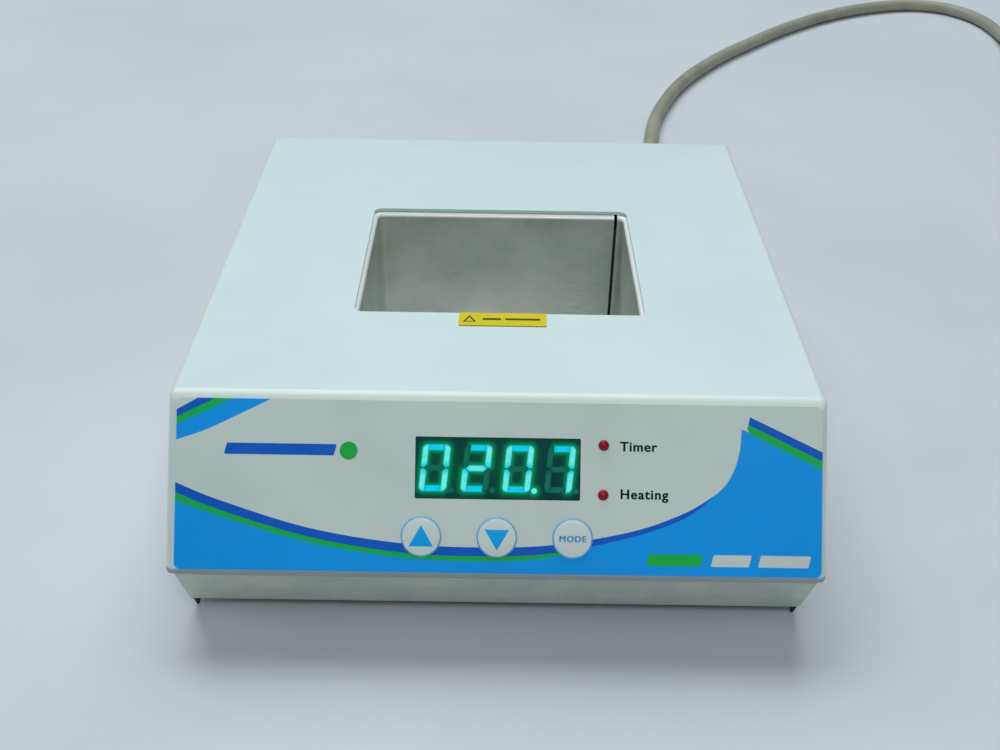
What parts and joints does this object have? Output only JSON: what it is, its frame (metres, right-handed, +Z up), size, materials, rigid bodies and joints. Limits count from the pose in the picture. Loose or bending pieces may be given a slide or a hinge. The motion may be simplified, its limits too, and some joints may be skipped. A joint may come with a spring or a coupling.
{
  "type": "dry block heater",
  "caption": "Low bench dry block heater with a sloped control panel, an open rectangular heated well and a mains lead.",
  "frame": {"origin": "on the bench, under the middle of the unit without its mains lead", "axes": "+Z up, -Y towards the user and the control panel, +X to the user's right"},
  "size_m": [0.4851, 0.6985, 0.0744],
  "materials": {
    "housing": "white powder coat, fine texture, satin",
    "well_metal": "satin stainless sheet with light scuffs",
    "heater_metal": "milled, bead blasted",
    "screw_metal": "zinc plated",
    "overlay_film": "printed polyester film, fine matt",
    "display_glass": "smoked clear plastic, glossy",
    "display_body": "black moulded plastic",
    "lamp_red": "tinted clear plastic, unlit",
    "key_plastic": "satin light grey film",
    "foot_rubber": "matt black rubber",
    "label_yellow": "printed vinyl",
    "board": "green solder mask",
    "black_plastic": "fine moulded texture",
    "silicone": "moulded silicone",
    "fibre": "charcoal mineral felt",
    "copper_parts": "enamelled winding on laminated steel",
    "wire_black": "smooth PVC",
    "wire_white": "smooth PVC",
    "wire_green": "smooth PVC",
    "terminal_green": "moulded nylon",
    "lead_grey": "beige grey PVC lead, handled and scuffed"
  },
  "bodies": {
    "unit": {"base_tray": "housing", "board_bar_left": "black_plastic", "board_bar_right": "black_plastic", "caution_label": "label_yellow", "control_board": "board", "cover_screw_1": "screw_metal", "cover_screw_2": "screw_metal", "cover_screw_3": "screw_metal", "cover_screw_4": "screw_metal", "display_module": "display_body", "display_window": "display_glass", "earth_wire": "wire_green", "foot_front_left": "foot_rubber", "foot_front_right": "foot_rubber", "foot_rear_left": "foot_rubber", "foot_rear_right": "foot_rubber", "front_overlay": "overlay_film", "heat_sink": "heater_metal", "heater_lead": "wire_white", "heater_plate": "heater_metal", "heating_element": "silicone", "heating_lamp": "lamp_red", "inlet_screw_1": "screw_metal", "inlet_screw_2": "screw_metal", "insulation_pad": "fibre", "lead_coil": "lead_grey", "lead_connector": "lead_grey", "lead_tie": "black_plastic", "lead_to_coil": "lead_grey", "lead_to_plug": "lead_grey", "live_wire": "wire_black", "mains_plug": "lead_grey", "neutral_wire": "wire_white", "plate_rail_front": "screw_metal", "plate_rail_rear": "screw_metal", "power_board": "board", "power_board_rail_front": "black_plastic", "power_board_rail_rear": "black_plastic", "power_inlet": "black_plastic", "relay": "black_plastic", "ribbon_cable": "wire_white", "rocker_switch": "black_plastic", "switch_down": "black_plastic", "switch_mode": "black_plastic", "switch_up": "black_plastic", "temperature_sensor": "screw_metal", "terminal_block": "terminal_green", "thermal_cutoff": "black_plastic", "timer_lamp": "lamp_red", "top_cover": "housing", "transformer": "copper_parts", "triac": "black_plastic", "well_insulation": "fibre", "well_liner": "well_metal"},
    "up_key": {"button_up": "key_plastic"},
    "down_key": {"button_down": "key_plastic"},
    "mode_key": {"button_mode": "key_plastic"},
    "fuse_carrier": {"fuse_drawer": "black_plastic", "fuse": "screw_metal"},
    "power_rocker": {"rocker_paddle": "black_plastic"}
  },
  "joints": [
    {"name": "up_key_press", "type": "slide", "parent": "unit", "child": "up_key", "axis": [0, 0.8234, -0.5674], "range_m": [0, 0.0005], "stiffness_N_per_m": 3000},
    {"name": "down_key_press", "type": "slide", "parent": "unit", "child": "down_key", "axis": [0, 0.8234, -0.5674], "range_m": [0, 0.0005], "stiffness_N_per_m": 3000},
    {"name": "mode_key_press", "type": "slide", "parent": "unit", "child": "mode_key", "axis": [0, 0.8234, -0.5674], "range_m": [0, 0.0005], "stiffness_N_per_m": 3000},
    {"name": "fuse_drawer_slide", "type": "slide", "parent": "unit", "child": "fuse_carrier", "axis": [0, 1, 0], "range_m": [0, 0.012]},
    {"name": "power_rocker_tip", "type": "hinge", "parent": "unit", "child": "power_rocker", "pos_m": [0.012, 0.1133, 0.045], "axis": [-1, 0, 0], "range_deg": [0, 18]}
  ]
}
